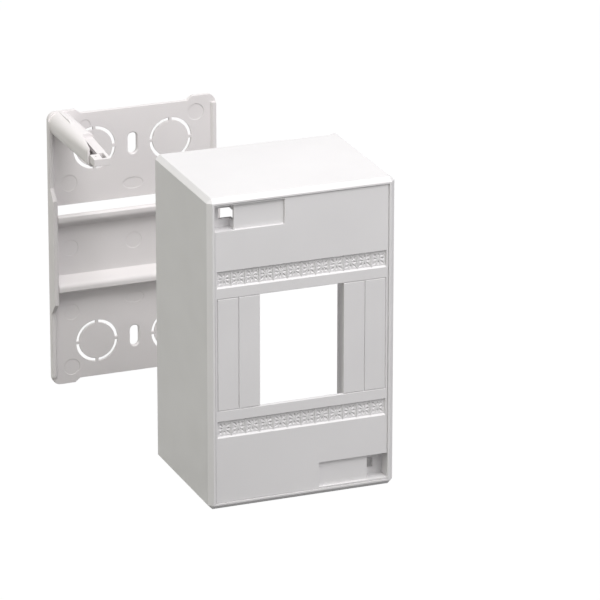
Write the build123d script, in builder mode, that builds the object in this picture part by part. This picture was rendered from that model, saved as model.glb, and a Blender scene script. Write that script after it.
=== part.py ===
import os

from build123d import *

# Device module, the width that most of the cover follows
module_width = 18.15
open_modules = 2
strips_per_side = 2
strip_width = module_width / 2

# Cover shell
cover_width = 80.6
cover_height = 133.0
cover_depth = 61.2
cover_wall = 2.0
edge_chamfer = 1.9
back_recess = 1.8
back_ear = 2.6
back_slant = 2.8
lead_in_width = 1.4
lead_in_depth = 3.6
lead_in_corner = 3.0
relief_depth = 0.7
relief_height = 28.3

# Front panel inside its frame
frame_side = 2.8
frame_end = 2.6
panel_recess = 0.45
panel_thickness = 2.2
frame_groove_width = 0.3
frame_groove_depth = 0.25

# Window and break-out strips
window_height = 47.8
score_width = 0.5
score_depth = 0.45
back_score_width = 1.0
back_score_depth = 0.9

# Ornament bands
band_rise = 32.05
band_height = 7.3
band_depth = 0.8
tile_pitch = module_width / 3
divider_width = 0.4
divider_height = 0.3
petal_width = 1.3
petal_depth = 0.45
straight_petal = 2.3
diagonal_petal = 3.0
straight_gap = 0.45
diagonal_gap = 0.75

# Label recesses and latch pockets
label_width = 30.0
label_height = 10.7
label_end_margin = 0.8
label_depth = 1.0
pocket_width = 8.6
pocket_depth = 6.6
pocket_wall = 1.2
tool_slot_width = 4.6
tool_slot_height = 4.4
tool_slot_rise = 3.4

# Base plate
side_clearance = 0.5
end_clearance = 2.85
plate_thickness = 2.0
plate_corner = 3.7
ear_recess = 1.8
ear_slant = 2.2
post_ear = 12.4
plain_ear = 10.5
rim_width = 2.2
rim_height = 1.0
flange_height = 5.2
flange_half = 23.5
flange_slope = 4.8
rim_chamfer = 0.7

# Rail
rail_height = 35.0
rail_drop = 1.0
lip_thickness = 2.2
lip_face = 3.2
lip_slope = 3.4
lip_round = 2.4
lip_edge_break = 0.7
lip_overhang = 2.6
shut_off_edge = 19.7

# Knock-outs and screw slots
knockout_side = 17.2
fixing_inset = 17.85
knockout_diameter = 19.0
knockout_slot = 1.4
knockout_web = 1.2
knockout_thinning = 1.0
screw_slot_width = 4.2
screw_slot_length = 9.4
screw_slot_bevel = 0.4

# Ejector marks
mark_radius = 3.6
small_mark_radius = 2.3
mark_depth = 0.15
mark_side = 28.8
mark_rise = 29.2
mark_end_inset = 7.25
oval_mark_rise = 26.0
oval_mark_width = 9.0
oval_mark_height = 5.0

# Snap posts
post_root_radius = 5.4
post_inset = 0.2
post_lean_in = 0.9
post_lean_down = 0.65
post_length = 45.0
post_tip_width = 9.1
post_tip_height = 8.2
post_tip_corner = 2.2
post_wall = 1.1
post_floor = 1.0
gusset_length = 16.0
gusset_width = 1.2

# Sprung tongue of a snap post
tongue_start = 28.5
tongue_root = 5.0
tongue_length = 51.2
tongue_rise = 3.0
tongue_fall = 2.1
tongue_width = 7.3
tongue_arm_width = 4.0
tongue_thickness = 1.8
tongue_end_length = 5.6
tongue_end_thickness = 3.0
slit_gap = 0.45
catch_width = 2.0
catch_length = 5.2
catch_bar = 1.0
catch_offset = 1.25
dimple_radius = 0.5
dimple_depth = 0.3

# How the two mouldings stand in the picture
base_shift = -16.1
base_setback = 97.9

# Values that follow from the sizes above
total_depth = cover_depth + base_setback
base_width = cover_width - 2 * cover_wall - 2 * side_clearance
base_height = cover_height - 2 * cover_wall - 2 * end_clearance
left_edge = min(base_shift - base_width / 2, -cover_width / 2)
right_edge = max(base_shift + base_width / 2, cover_width / 2)
cover_x = -(left_edge + right_edge) / 2
base_x = cover_x + base_shift
cover_front = -total_depth / 2
plate_front = total_depth / 2 - plate_thickness
panel_width = cover_width - 2 * frame_side
panel_height = cover_height - 2 * frame_end
panel_back = panel_recess + panel_thickness
inner_width = cover_width - 2 * cover_wall
inner_height = cover_height - 2 * cover_wall
window_width = open_modules * module_width
scored_width = window_width + 2 * strips_per_side * strip_width
tile_count = round(scored_width / tile_pitch)
pocket_back = pocket_depth + pocket_wall
label_left = -panel_width / 2
label_top = panel_height / 2 - label_end_margin
pocket_right = label_left + pocket_width
label_bottom = label_top - label_height
rail_length = base_width - 2 * rim_width
fixing_rise = base_height / 2 - fixing_inset
mark_end_rise = base_height / 2 - mark_end_inset
post_x = -base_width / 2 + post_root_radius + post_inset
post_z = base_height / 2 - post_root_radius - post_inset / 2
tip_x = post_x + post_lean_in
tip_z = post_z - post_lean_down
tongue_left = tip_x - tongue_width / 2
tongue_right = tip_x + tongue_width / 2
tongue_z = tip_z + tongue_rise
arm_left = tongue_right - tongue_arm_width
slit_left = arm_left - slit_gap
core_left = tip_x - post_tip_width / 2 + post_wall
catch_x = tip_x + catch_offset


# View planes that share their upward direction with the face they start from
def side_view(face):
    return Plane(origin=face.origin, x_dir=face.z_dir, z_dir=-face.x_dir)


def top_view(face):
    return Plane(origin=face.origin, x_dir=face.x_dir, z_dir=face.y_dir)


# The same face turned half round about its own middle
def turned(face):
    return Plane(origin=face.origin, x_dir=-face.x_dir, z_dir=face.z_dir)


cover_face = Plane(origin=(cover_x, cover_front, cover_height / 2), x_dir=(1, 0, 0), z_dir=(0, -1, 0))
plate_face = Plane(origin=(base_x, plate_front, base_height / 2), x_dir=(1, 0, 0), z_dir=(0, -1, 0))
cover_turns = [cover_face, turned(cover_face)]
plate_turns = [plate_face, turned(plate_face)]
band_floor = cover_face.offset(-panel_recess - band_depth)


# Four-sided pit for one petal of the ornament, longest along x
def petal_pit(length):
    with BuildPart() as pit:
        with BuildSketch(Plane.XY):
            Polygon((length / 2, 0), (0, petal_width / 2), (-length / 2, 0), (0, -petal_width / 2))
        with BuildSketch(Plane.XY.offset(-petal_depth)):
            with BuildLine():
                tip = 0.03
                Polyline(
                    (tip * length, 0),
                    (0, tip * petal_width),
                    (-tip * length, 0),
                    (0, -tip * petal_width),
                    close=True,
                )
            make_face()
        loft(ruled=True)
    return pit.part


# Sprung tongue of one snap post: its arm falls towards a wider, thicker end with a catch window
def snap_tongue(face):
    end_start = tongue_length - tongue_end_length
    fall = tongue_fall * (end_start - tongue_start) / (tongue_length - tongue_start)
    with BuildPart() as tongue:
        with BuildSketch(side_view(face).offset(-tongue_right)):
            Polygon(
                (tongue_start - tongue_root, tongue_z - tongue_thickness),
                (tongue_start, tongue_z - tongue_thickness),
                (end_start, tongue_z - fall - tongue_thickness),
                (end_start, tongue_z - tongue_fall - tongue_end_thickness),
                (tongue_length, tongue_z - tongue_fall - tongue_end_thickness),
                (tongue_length, tongue_z - tongue_fall),
                (tongue_start, tongue_z),
                (tongue_start, tongue_z + post_wall),
                (tongue_start - tongue_root, tongue_z + post_wall),
                align=None,
            )
        extrude(amount=tongue_width)
        with BuildSketch(top_view(face)):
            Polygon(
                (tongue_right, tongue_root - tongue_start),
                (arm_left, tongue_root - tongue_start),
                (arm_left, -end_start),
                (tongue_left, -end_start),
                (tongue_left, -tongue_length),
                (tongue_right, -tongue_length),
                align=None,
            )
        extrude(amount=base_height, mode=Mode.INTERSECT)
        with BuildSketch(top_view(face).offset(tongue_z)):
            with Locations((catch_x, catch_bar - tongue_length)):
                Rectangle(catch_width, catch_length, align=(Align.CENTER, Align.MIN))
        extrude(amount=-tongue_fall - tongue_end_thickness, mode=Mode.SUBTRACT)
        with BuildSketch(top_view(face).offset(tongue_z)):
            with Locations((tip_x - tongue_width / 4, catch_bar + catch_length / 2 - tongue_length)):
                Circle(dimple_radius)
        extrude(amount=-tongue_fall - dimple_depth, mode=Mode.SUBTRACT)
    return tongue.part


straight_pit = petal_pit(straight_petal)
diagonal_pit = petal_pit(diagonal_petal)
tongues = [snap_tongue(face) for face in plate_turns]

with BuildPart() as cover:
    # Chamfered outer box
    with BuildSketch(cover_face):
        Rectangle(cover_width, cover_height)
    extrude(amount=-cover_depth)
    front_edges = cover.edges().group_by(Axis.Y)[0]
    depth_edges = cover.edges().filter_by(Axis.Y)
    chamfer(front_edges + depth_edges, length=edge_chamfer)

    # Cavity, open at the back, with a lead-in for the base plate
    with BuildSketch(cover_face.offset(-cover_depth)):
        Rectangle(inner_width, inner_height)
    extrude(amount=cover_depth - panel_back, mode=Mode.SUBTRACT)
    with BuildSketch(cover_face.offset(-cover_depth)):
        RectangleRounded(inner_width + 2 * lead_in_width, inner_height + 2 * lead_in_width, lead_in_corner)
    with BuildSketch(cover_face.offset(lead_in_depth - cover_depth)):
        RectangleRounded(inner_width, inner_height, lead_in_corner / 10)
    loft(ruled=True, mode=Mode.SUBTRACT)

    # Back edges of the top and bottom walls run forward towards an ear at one corner
    for face in cover_turns:
        with BuildSketch(top_view(face)):
            ear_start = cover_width / 2 - back_ear
            Polygon(
                (-cover_width / 2, cover_depth),
                (ear_start - back_slant, cover_depth - back_recess),
                (ear_start, cover_depth),
                align=None,
            )
        extrude(amount=cover_height / 2, mode=Mode.SUBTRACT)

    # Front panel set back in its frame, with a groove round it
    with BuildSketch(cover_face):
        Rectangle(panel_width, panel_height)
    extrude(amount=-panel_recess, mode=Mode.SUBTRACT)
    with BuildSketch(cover_face.offset(-panel_recess)):
        Rectangle(panel_width, panel_height)
        Rectangle(
            panel_width - 2 * frame_groove_width,
            panel_height - 2 * frame_groove_width,
            mode=Mode.SUBTRACT,
        )
    extrude(amount=-frame_groove_depth, mode=Mode.SUBTRACT)

    # Window for the devices
    with BuildSketch(cover_face):
        Rectangle(window_width, window_height)
    extrude(amount=-panel_back, mode=Mode.SUBTRACT)

    # Upright score lines of the break-out strips
    with BuildSketch(top_view(cover_face)):
        for side in (-1, 1):
            for strip in range(1, strips_per_side + 1):
                with Locations((side * (window_width / 2 + strip * strip_width), panel_recess)):
                    Polygon((-score_width / 2, 0), (0, score_depth), (score_width / 2, 0), align=None)
    extrude(amount=window_height / 2, both=True, mode=Mode.SUBTRACT)

    # Level score lines above and below the strips
    with BuildSketch(side_view(cover_face)):
        for side in (-1, 1):
            with Locations((-panel_recess, side * window_height / 2)):
                Polygon((0, -score_width / 2), (-score_depth, 0), (0, score_width / 2), align=None)
    extrude(amount=scored_width / 2, both=True, mode=Mode.SUBTRACT)

    # Score lines on the back of the panel
    with BuildSketch(cover_face.offset(-panel_back)):
        for side in (-1, 1):
            for strip in range(1, strips_per_side + 1):
                with Locations((side * (window_width / 2 + strip * strip_width), 0)):
                    Rectangle(back_score_width, window_height)
            with Locations((0, side * window_height / 2)):
                Rectangle(scored_width + back_score_width, back_score_width)
    extrude(amount=back_score_depth, mode=Mode.SUBTRACT)

    # Sunk ornament bands with bevelled edges
    for side in (-1, 1):
        with BuildSketch(cover_face.offset(-panel_recess)):
            with Locations((0, side * band_rise)):
                Rectangle(scored_width + divider_width, band_height)
        with BuildSketch(band_floor):
            with Locations((0, side * band_rise)):
                Rectangle(scored_width, tile_pitch)
        loft(ruled=True, mode=Mode.SUBTRACT)

    # Dividers between the tiles
    with BuildSketch(band_floor):
        with GridLocations(tile_pitch, 2 * band_rise, tile_count - 1, 2):
            Rectangle(divider_width, tile_pitch)
    extrude(amount=divider_height)

    # Label recess, latch pocket, tool slot and relief, turned half round for the second corner
    for face in cover_turns:
        with BuildSketch(face.offset(-panel_back)):
            with Locations((-inner_width / 2, inner_height / 2)):
                Rectangle(
                    inner_width / 2 + pocket_right + pocket_wall,
                    inner_height / 2 - label_bottom + pocket_wall,
                    align=(Align.MIN, Align.MAX),
                )
        extrude(amount=panel_back - pocket_back)
        with BuildSketch(face.offset(-panel_recess)):
            with Locations((label_left, label_top)):
                Rectangle(label_width, label_height, align=(Align.MIN, Align.MAX))
        extrude(amount=-label_depth, mode=Mode.SUBTRACT)
        with BuildSketch(face):
            with Locations((label_left, label_top)):
                Rectangle(pocket_width, label_height, align=(Align.MIN, Align.MAX))
        extrude(amount=-pocket_depth, mode=Mode.SUBTRACT)
        with BuildSketch(face.offset(-panel_back)):
            with Locations((pocket_right - tool_slot_width, label_bottom + tool_slot_rise)):
                Rectangle(tool_slot_width + pocket_wall, tool_slot_height, align=(Align.MIN, Align.MIN))
        extrude(amount=panel_back - pocket_back, mode=Mode.SUBTRACT)
        with BuildSketch(face.offset(-cover_depth)):
            with Locations((-inner_width / 2, inner_height / 2)):
                Rectangle(relief_depth, relief_height, align=(Align.MAX, Align.MAX))
        extrude(amount=cover_depth - pocket_back, mode=Mode.SUBTRACT)

    # Eight petals on every tile
    with Locations(band_floor):
        with GridLocations(tile_pitch, 2 * band_rise, tile_count, 2):
            with PolarLocations(straight_gap + straight_petal / 2, 4):
                add(straight_pit, mode=Mode.SUBTRACT)
            with PolarLocations(diagonal_gap + diagonal_petal / 2, 4, start_angle=45):
                add(diagonal_pit, mode=Mode.SUBTRACT)

with BuildPart() as base_plate:
    # Plate with rounded corners, its ends set in between the corner ears
    with BuildSketch(plate_face):
        RectangleRounded(base_width, base_height, plate_corner)
    extrude(amount=-plate_thickness)
    for face in plate_turns:
        with BuildSketch(face):
            ear_left = post_ear - base_width / 2
            ear_right = base_width / 2 - plain_ear
            ear_foot = base_height / 2 - ear_recess
            Polygon(
                (ear_left, base_height / 2 + 1),
                (ear_left, base_height / 2),
                (ear_left + ear_slant, ear_foot),
                (ear_right - ear_slant, ear_foot),
                (ear_right, base_height / 2),
                (ear_right, base_height / 2 + 1),
                align=None,
            )
        extrude(amount=-plate_thickness, mode=Mode.SUBTRACT)

    # Side rims that rise to flanges beside the rail
    rim_half = base_height / 2 - plate_corner
    slope_end = flange_half + flange_slope
    for side in (-1, 1):
        with BuildSketch(side_view(plate_face).offset(side * base_width / 2)):
            Polygon(
                (-plate_thickness / 2, -rim_half),
                (rim_height, -rim_half),
                (rim_height, -slope_end),
                (flange_height, -flange_half),
                (flange_height, flange_half),
                (rim_height, slope_end),
                (rim_height, rim_half),
                (-plate_thickness / 2, rim_half),
                align=None,
            )
        extrude(amount=-side * rim_width)
    raised_edges = base_plate.edges().filter_by_position(
        Axis.Y, plate_front - flange_height - 0.1, plate_front - rim_height + 0.1
    )
    inner_left = raised_edges.filter_by_position(Axis.X, base_x - rail_length / 2 - 0.1, base_x)
    inner_right = raised_edges.filter_by_position(Axis.X, base_x, base_x + rail_length / 2 + 0.1)
    chamfer(inner_left + inner_right, length=rim_chamfer)

    # Rail lips, with a slot through the plate behind each
    lip_edge = rail_height / 2
    slot_start = lip_edge - lip_overhang
    rail_face = Plane(
        origin=(base_x, plate_front, base_height / 2 - rail_drop), x_dir=(1, 0, 0), z_dir=(0, -1, 0)
    )
    for side in (-1, 1):
        with BuildSketch(plate_face):
            slot_near = side * slot_start - rail_drop
            slot_far = side * shut_off_edge
            with Locations((0, (slot_near + slot_far) / 2)):
                Rectangle(rail_length, abs(slot_far - slot_near))
        extrude(amount=-plate_thickness, mode=Mode.SUBTRACT)
        with BuildSketch(side_view(rail_face)) as lip:
            Polygon(
                (-plate_thickness / 2, side * (lip_edge - lip_face - lip_slope)),
                (0, side * (lip_edge - lip_face - lip_slope)),
                (flange_height, side * (lip_edge - lip_face)),
                (flange_height, side * (lip_edge - lip_edge_break)),
                (flange_height - lip_edge_break, side * lip_edge),
                (flange_height - lip_thickness, side * lip_edge),
                (flange_height - lip_thickness, side * slot_start),
                (-plate_thickness / 2, side * slot_start),
                align=None,
            )
            crest = lip.vertices().sort_by_distance((flange_height, side * (lip_edge - lip_face)))[0]
            fillet(crest, radius=lip_round)
        extrude(amount=rail_length / 2, both=True)

    # Knock-outs held by four webs
    with BuildSketch(plate_face):
        with GridLocations(2 * knockout_side, 2 * fixing_rise, 2, 2):
            Circle(knockout_diameter / 2)
            Circle(knockout_diameter / 2 - knockout_slot, mode=Mode.SUBTRACT)
            Rectangle(knockout_web, knockout_diameter, mode=Mode.SUBTRACT)
            Rectangle(knockout_diameter, knockout_web, mode=Mode.SUBTRACT)
    extrude(amount=-plate_thickness, mode=Mode.SUBTRACT)

    with BuildSketch(plate_face.offset(-plate_thickness)):
        with GridLocations(2 * knockout_side, 2 * fixing_rise, 2, 2):
            Circle(knockout_diameter / 2 + knockout_thinning)
            Circle(knockout_diameter / 2 - knockout_slot - knockout_thinning, mode=Mode.SUBTRACT)
    extrude(amount=knockout_thinning, mode=Mode.SUBTRACT)

    # Screw slots with a bevelled mouth
    with BuildSketch(plate_face):
        with GridLocations(0, 2 * fixing_rise, 1, 2):
            SlotOverall(screw_slot_length, screw_slot_width, rotation=90)
    extrude(amount=-plate_thickness, mode=Mode.SUBTRACT)
    with BuildSketch(plate_face):
        with GridLocations(0, 2 * fixing_rise, 1, 2):
            SlotOverall(
                screw_slot_length + 2 * screw_slot_bevel,
                screw_slot_width + 2 * screw_slot_bevel,
                rotation=90,
            )
    extrude(amount=-screw_slot_bevel, taper=45, mode=Mode.SUBTRACT)

    # Shallow ejector marks
    with BuildSketch(plate_face):
        with GridLocations(2 * mark_side, 2 * mark_rise, 2, 2):
            Circle(mark_radius)
        with GridLocations(mark_side, 0, 3, 1):
            Circle(mark_radius)
        with GridLocations(0, 2 * oval_mark_rise, 1, 2):
            Ellipse(oval_mark_width / 2, oval_mark_height / 2)
    extrude(amount=-mark_depth, mode=Mode.SUBTRACT)
    for face in plate_turns:
        with BuildSketch(face):
            with Locations((mark_side, mark_end_rise)):
                Circle(mark_radius)
            with Locations((post_x + 2 * post_root_radius + mark_depth, mark_end_rise)):
                Circle(small_mark_radius)
        extrude(amount=-mark_depth, mode=Mode.SUBTRACT)

    # Snap posts, the second turned half round
    for face in plate_turns:
        with BuildSketch(face.offset(-plate_thickness / 2)):
            with Locations((post_x, post_z)):
                RectangleRounded(2 * post_root_radius, 2 * post_root_radius, 0.98 * post_root_radius)
        with BuildSketch(face.offset(post_length)):
            with Locations((tip_x, tip_z)):
                RectangleRounded(post_tip_width, post_tip_height, post_tip_corner)
        loft(ruled=True)

        # Gusset rib on the root
        with BuildSketch(side_view(face).offset(-post_x)):
            gusset_top = base_height / 2 - post_inset / 4
            gusset_foot = post_z + post_root_radius - post_wall
            Polygon(
                (-plate_thickness / 2, gusset_foot),
                (-plate_thickness / 2, gusset_top),
                (0.8 * gusset_length, gusset_top),
                (gusset_length, gusset_foot),
                align=None,
            )
        extrude(amount=gusset_width / 2, both=True)

        # Hollow core, open at the tip
        core_root = post_root_radius - 1.5 * post_wall
        core_corner = post_tip_corner - post_wall
        with BuildSketch(face.offset(post_floor)):
            with Locations((post_x, post_z)):
                RectangleRounded(2 * core_root, 2 * core_root, 0.9 * core_root)
        with BuildSketch(face.offset(post_length)):
            with Locations((tip_x, tip_z)):
                RectangleRounded(post_tip_width - 2 * post_wall, post_tip_height - 2 * post_wall, core_corner)
        loft(ruled=True, mode=Mode.SUBTRACT)

        # Upper wall cut away over the tongue, and the wall beside it cut down below it
        slit_z = tongue_z - tongue_thickness - slit_gap
        with BuildSketch(side_view(face).offset(-slit_left)):
            Polygon(
                (tongue_start, slit_z),
                (tongue_start, tongue_z + post_root_radius),
                (tongue_length, tongue_z + post_root_radius),
                (tongue_length, slit_z - tongue_fall),
                align=None,
            )
        extrude(amount=-tongue_width, mode=Mode.SUBTRACT)
        with BuildSketch(top_view(face).offset(tongue_z + post_root_radius)):
            Polygon(
                (slit_left, -tongue_start),
                (core_left, -post_length),
                (core_left, -tongue_length),
                (slit_left, -tongue_length),
                align=None,
            )
        extrude(amount=-post_root_radius - tongue_thickness, mode=Mode.SUBTRACT)
    for tongue in tongues:
        add(tongue)

os.makedirs("parts", exist_ok=True)
cover.part.label = "cover"
base_plate.part.label = "base_plate"
export_step(cover.part, "parts/cover.step")
export_step(base_plate.part, "parts/base_plate.step")
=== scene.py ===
import math

import bpy
from mathutils import Matrix, Vector


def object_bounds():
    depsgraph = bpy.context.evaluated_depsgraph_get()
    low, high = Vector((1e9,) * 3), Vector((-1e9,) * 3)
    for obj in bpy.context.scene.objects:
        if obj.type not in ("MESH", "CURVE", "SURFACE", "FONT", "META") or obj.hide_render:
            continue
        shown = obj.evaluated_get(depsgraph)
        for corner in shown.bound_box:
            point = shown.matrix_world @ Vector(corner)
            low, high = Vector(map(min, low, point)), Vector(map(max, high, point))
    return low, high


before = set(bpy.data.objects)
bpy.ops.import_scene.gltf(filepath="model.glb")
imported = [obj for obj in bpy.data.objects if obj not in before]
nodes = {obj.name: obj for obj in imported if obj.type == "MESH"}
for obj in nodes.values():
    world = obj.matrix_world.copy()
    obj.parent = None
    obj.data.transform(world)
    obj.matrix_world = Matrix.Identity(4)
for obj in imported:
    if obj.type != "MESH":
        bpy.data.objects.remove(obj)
cad_low, cad_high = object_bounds()

# All lengths are in metres, all angles in radians, all colours in linear light.

# The two mouldings. The cover carries the finer relief, so its edges are softened less.
COVER_COLOUR = (0.742, 0.732, 0.735)
COVER_ROUGHNESS = 0.46
COVER_GRAIN_SCALE = 2600.0
COVER_GRAIN_DEPTH = 0.00004
COVER_EDGE_RADIUS = 0.00010
BASE_COLOUR = (0.815, 0.786, 0.784)
BASE_ROUGHNESS = 0.42
BASE_GRAIN_SCALE = 2200.0
BASE_GRAIN_DEPTH = 0.00003
BASE_EDGE_RADIUS = 0.00025

# What every moulded plastic shares
FLOW_SCALE = 24.0
FLOW_DARKEST = 0.972
FLOW_LIGHTEST = 1.02
SHEEN_SCALE = 90.0
SHEEN_SPREAD = 0.05
GRAIN_STRENGTH = 0.35
PLASTIC_IOR = 1.49
PLASTIC_SPECULAR = 0.42
BEVEL_SAMPLES = 6
SHARP_ANGLE = math.radians(28.0)

# Most of a noise pattern lies between these values.
NOISE_LOW = 0.3
NOISE_HIGH = 0.7

# Floor: white as the camera sees it, its diffuse tone, and the share that shows the shadow
FLOOR_WHITE = 1.12
FLOOR_TONE = 0.14
SHADOW_SHARE = 0.11
FLOOR_HALF_SIDE = 6.0
FLOOR_DROP = 0.0002

# Surround: its light on the object, and the white that the camera and reflections see
SURROUND_LIGHT = 0.48
SURROUND_WHITE = 1.0

# Soft lamps: name, place, side, watts, colour, and whether reflections show it. The one
# behind stays out of them, so that it leaves no glare on the top.
LAMPS = (
    ("high_key", (0.0, -0.45, 0.95), 0.5, 6.0, (1.0, 0.99, 1.0), True),
    ("left_fill", (-1.0, -0.25, 0.35), 0.8, 2.3, (1.0, 1.0, 0.82), True),
    ("right_fill", (0.45, -0.80, 0.65), 0.7, 3.1, (1.0, 0.98, 1.0), True),
    ("back_fill", (0.35, 1.15, 0.28), 0.8, 3.2, (1.0, 1.0, 1.0), False),
)

# Camera, fitted to the outlines in the photograph; lens and sensor width in millimetres
CAMERA_PLACE = (-0.67841, -1.81747, 0.77250)
CAMERA_YAW = 0.37501
CAMERA_PITCH = 0.35228
CAMERA_ROLL = 0.00112
CAMERA_LENS = 297.547
CAMERA_SENSOR = 36.0
CAMERA_NEAR = 0.1
CAMERA_FAR = 30.0


class Graph:
    """Adds shader nodes to one tree and links them."""

    def __init__(self, tree):
        self.tree = tree
        tree.nodes.clear()

    def add(self, kind, inputs=None, **settings):
        """Add a node, with its settings and the constants on its own sockets."""
        node = self.tree.nodes.new(kind)
        for key, value in settings.items():
            setattr(node, key, value)
        for key, value in (inputs or {}).items():
            node.inputs[key].default_value = value
        return node

    def link(self, source, target):
        self.tree.links.new(source, target)

    def noise(self, place, scale, detail=3.0, roughness=0.5):
        """Noise between about 0 and 1, mostly near its middle."""
        node = self.add(
            "ShaderNodeTexNoise", {"Scale": scale, "Detail": detail, "Roughness": roughness}
        )
        self.link(place, node.inputs["Vector"])
        return node.outputs["Fac"]

    def spread(self, value, low, high):
        """Stretch a noise value to the range from low to high."""
        node = self.add(
            "ShaderNodeMapRange",
            {"From Min": NOISE_LOW, "From Max": NOISE_HIGH, "To Min": low, "To Max": high},
        )
        self.link(value, node.inputs["Value"])
        return node.outputs["Result"]

    def seen_directly(self):
        """1 for the camera's own rays, reflections and see-through rays, else 0."""
        path = self.add("ShaderNodeLightPath")
        total = path.outputs["Is Camera Ray"]
        for kind in ("Is Glossy Ray", "Is Transmission Ray"):
            either = self.add("ShaderNodeMath", operation="MAXIMUM")
            self.link(total, either.inputs[0])
            self.link(path.outputs[kind], either.inputs[1])
            total = either.outputs[0]
        return total

    def mix_shaders(self, factor, first, second):
        """Mix two shader nodes: the first at factor 0, the second at factor 1."""
        mix = self.add("ShaderNodeMixShader")
        self.link(factor, mix.inputs["Fac"])
        self.link(first.outputs[0], mix.inputs[1])
        self.link(second.outputs[0], mix.inputs[2])
        return mix.outputs[0]


def new_material(name):
    """Make an empty material; give it back with its graph and its output node."""
    material = bpy.data.materials.new(name)
    material.use_nodes = True
    graph = Graph(material.node_tree)
    return material, graph, graph.add("ShaderNodeOutputMaterial")


def grey(value):
    return (value, value, value, 1)


def moulded_plastic(name, colour, roughness, grain_scale, grain_depth, edge_radius):
    """Pale moulded plastic: faint flow clouding, spark-eroded grain, softened edges."""
    material, graph, out = new_material(name)
    shader = graph.add(
        "ShaderNodeBsdfPrincipled", {"IOR": PLASTIC_IOR, "Specular IOR Level": PLASTIC_SPECULAR}
    )
    graph.link(shader.outputs["BSDF"], out.inputs["Surface"])
    place = graph.add("ShaderNodeTexCoord").outputs["Object"]

    shade = graph.add("ShaderNodeMix", data_type="RGBA")
    shade.inputs["A"].default_value = (*[c * FLOW_DARKEST for c in colour], 1)
    shade.inputs["B"].default_value = (*[min(1.0, c * FLOW_LIGHTEST) for c in colour], 1)
    clouds = graph.noise(place, FLOW_SCALE)
    graph.link(graph.spread(clouds, 0.0, 1.0), shade.inputs["Factor"])
    graph.link(shade.outputs["Result"], shader.inputs["Base Color"])

    sheen = graph.noise(place, SHEEN_SCALE)
    sheen = graph.spread(sheen, roughness - SHEEN_SPREAD, roughness + SHEEN_SPREAD)
    graph.link(sheen, shader.inputs["Roughness"])

    grain = graph.noise(place, grain_scale, detail=4.0, roughness=0.6)
    bevel = graph.add("ShaderNodeBevel", {"Radius": edge_radius}, samples=BEVEL_SAMPLES)
    bump = graph.add("ShaderNodeBump", {"Strength": GRAIN_STRENGTH, "Distance": grain_depth})
    graph.link(grain, bump.inputs["Height"])
    graph.link(bevel.outputs["Normal"], bump.inputs["Normal"])
    graph.link(bump.outputs["Normal"], shader.inputs["Normal"])
    return material


def dress(node, material):
    """Give a CAD node its material, smooth over its curves and sharp at its edges."""
    mesh = nodes[node].data
    mesh.materials.clear()
    mesh.materials.append(material)
    mesh.polygons.foreach_set("use_smooth", [True] * len(mesh.polygons))
    mesh.set_sharp_from_angle(angle=SHARP_ANGLE)


def studio_floor():
    """Pale floor that the camera sees as white, with a trace of the object's shadow."""
    half = FLOOR_HALF_SIDE
    mesh = bpy.data.meshes.new("floor")
    corners = [(-half, -half, 0), (half, -half, 0), (half, half, 0), (-half, half, 0)]
    mesh.from_pydata(corners, [], [(0, 1, 2, 3)])
    floor = bpy.data.objects.new("floor", mesh)
    bpy.context.scene.collection.objects.link(floor)
    floor.location.z = cad_low.z - FLOOR_DROP

    material, graph, out = new_material("floor_white")
    plain = graph.add("ShaderNodeBsdfDiffuse", {"Color": grey(FLOOR_TONE)})
    glow = graph.add("ShaderNodeEmission", {"Color": grey(1), "Strength": FLOOR_WHITE})
    amount = graph.add("ShaderNodeMath", {1: 1 - SHADOW_SHARE}, operation="MULTIPLY")
    graph.link(graph.seen_directly(), amount.inputs[0])
    graph.link(graph.mix_shaders(amount.outputs[0], plain, glow), out.inputs["Surface"])
    mesh.materials.append(material)


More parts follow.
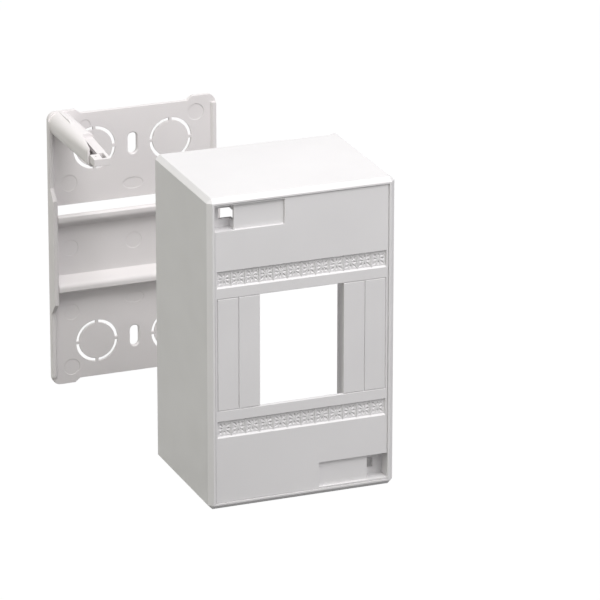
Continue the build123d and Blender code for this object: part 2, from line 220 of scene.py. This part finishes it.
def studio_world():
    """Plain white surround: soft light on the object, white to the camera and in reflections."""
    world = bpy.data.worlds.new("studio")
    bpy.context.scene.world = world
    world.use_nodes = True
    graph = Graph(world.node_tree)
    out = graph.add("ShaderNodeOutputWorld")
    soft = graph.add("ShaderNodeBackground", {"Color": grey(1), "Strength": SURROUND_LIGHT})
    white = graph.add("ShaderNodeBackground", {"Color": grey(1), "Strength": SURROUND_WHITE})
    graph.link(graph.mix_shaders(graph.seen_directly(), soft, white), out.inputs["Surface"])


def softbox(name, place, side, watts, colour, in_reflections):
    """Square soft lamp that looks at the middle of the object."""
    data = bpy.data.lights.new(name, "AREA")
    data.shape = "SQUARE"
    data.size = side
    data.energy = watts
    data.color = colour
    lamp = bpy.data.objects.new(name, data)
    bpy.context.scene.collection.objects.link(lamp)
    lamp.location = place
    aim = (cad_low + cad_high) / 2
    lamp.rotation_euler = (aim - Vector(place)).to_track_quat("-Z", "Y").to_euler()
    lamp.visible_glossy = in_reflections


def photo_camera():
    """Camera at the photograph's viewing angle; the roll turns it about its own line of sight."""
    data = bpy.data.cameras.new("camera")
    data.sensor_width = CAMERA_SENSOR
    data.lens = CAMERA_LENS
    data.clip_start = CAMERA_NEAR
    data.clip_end = CAMERA_FAR
    camera = bpy.data.objects.new("camera", data)
    bpy.context.scene.collection.objects.link(camera)
    camera.location = CAMERA_PLACE
    yaw = Matrix.Rotation(-CAMERA_YAW, 3, "Z")
    pitch = Matrix.Rotation(math.pi / 2 - CAMERA_PITCH, 3, "X")
    roll = Matrix.Rotation(CAMERA_ROLL, 3, "Z")
    camera.rotation_euler = (yaw @ pitch @ roll).to_euler()
    bpy.context.scene.camera = camera


dress(
    "cover",
    moulded_plastic(
        "cover_plastic",
        COVER_COLOUR,
        COVER_ROUGHNESS,
        COVER_GRAIN_SCALE,
        COVER_GRAIN_DEPTH,
        COVER_EDGE_RADIUS,
    ),
)
dress(
    "base_plate",
    moulded_plastic(
        "base_plastic",
        BASE_COLOUR,
        BASE_ROUGHNESS,
        BASE_GRAIN_SCALE,
        BASE_GRAIN_DEPTH,
        BASE_EDGE_RADIUS,
    ),
)
studio_floor()
studio_world()
for lamp in LAMPS:
    softbox(*lamp)
photo_camera()
bpy.context.scene.view_settings.view_transform = "Standard"
